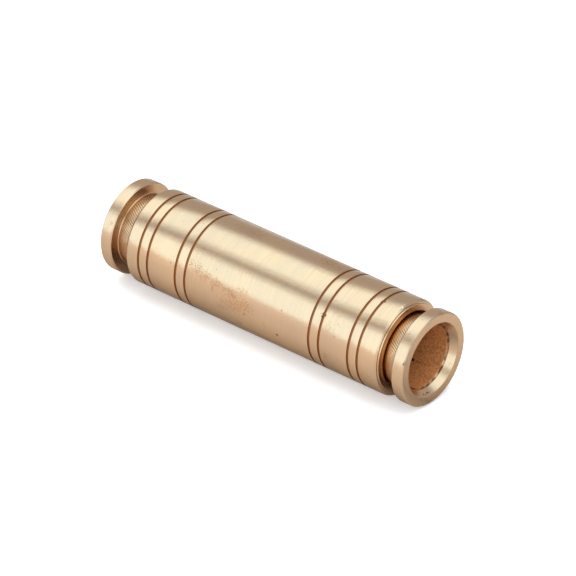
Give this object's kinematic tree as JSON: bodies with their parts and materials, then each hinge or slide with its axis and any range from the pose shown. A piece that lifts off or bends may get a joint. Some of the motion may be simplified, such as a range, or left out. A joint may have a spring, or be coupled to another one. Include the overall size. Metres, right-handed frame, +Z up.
{
  "type": "push fit coupling",
  "caption": "Straight brass push fit coupling that joins two tubes end to end, with a sliding flanged release collet and seals at each end.",
  "frame": {"origin": "on the coupling's axis at the middle of its body", "axes": "+X along the axis out of the right end, +Z up"},
  "size_m": [0.0579, 0.015, 0.015],
  "materials": {
    "body_brass": "satin turned",
    "flange_brass": "satin turned",
    "collet_brass": "finely knurled",
    "bush_brass": "turned",
    "clip_bronze": "phosphor bronze spring",
    "grip_steel": "stainless",
    "ring_plastic": "moulded",
    "seal_rubber": "moulded rubber"
  },
  "bodies": {
    "barrel": {"coupling_body": "body_brass", "left_inner_backup_ring": "ring_plastic", "left_inner_o_ring": "seal_rubber", "left_spacer_ring": "ring_plastic", "left_outer_o_ring": "seal_rubber", "left_thrust_washer": "bush_brass", "left_taper_bush": "bush_brass", "left_retaining_circlip": "clip_bronze", "right_inner_backup_ring": "ring_plastic", "right_inner_o_ring": "seal_rubber", "right_spacer_ring": "ring_plastic", "right_outer_o_ring": "seal_rubber", "right_thrust_washer": "bush_brass", "right_taper_bush": "bush_brass", "right_retaining_circlip": "clip_bronze"},
    "left_grip": {"left_grip_ring": "grip_steel"},
    "left_collet": {"left_collet_sleeve": "collet_brass", "left_release_flange": "flange_brass"},
    "right_grip": {"right_grip_ring": "grip_steel"},
    "right_collet": {"right_collet_sleeve": "collet_brass", "right_release_flange": "flange_brass"}
  },
  "joints": [
    {"name": "left_release_slide", "type": "slide", "parent": "barrel", "child": "left_grip", "axis": [1, 0, 0], "range_m": [0, 0.00275]},
    {"name": "left_collet_spin", "type": "hinge", "parent": "left_grip", "child": "left_collet", "pos_m": [-0.028, 0, 0], "axis": [-1, 0, 0], "continuous": true},
    {"name": "right_release_slide", "type": "slide", "parent": "barrel", "child": "right_grip", "axis": [-1, 0, 0], "range_m": [-0.0003, 0.00245]},
    {"name": "right_collet_spin", "type": "hinge", "parent": "right_grip", "child": "right_collet", "pos_m": [0.028, 0, 0], "axis": [1, 0, 0], "continuous": true}
  ]
}
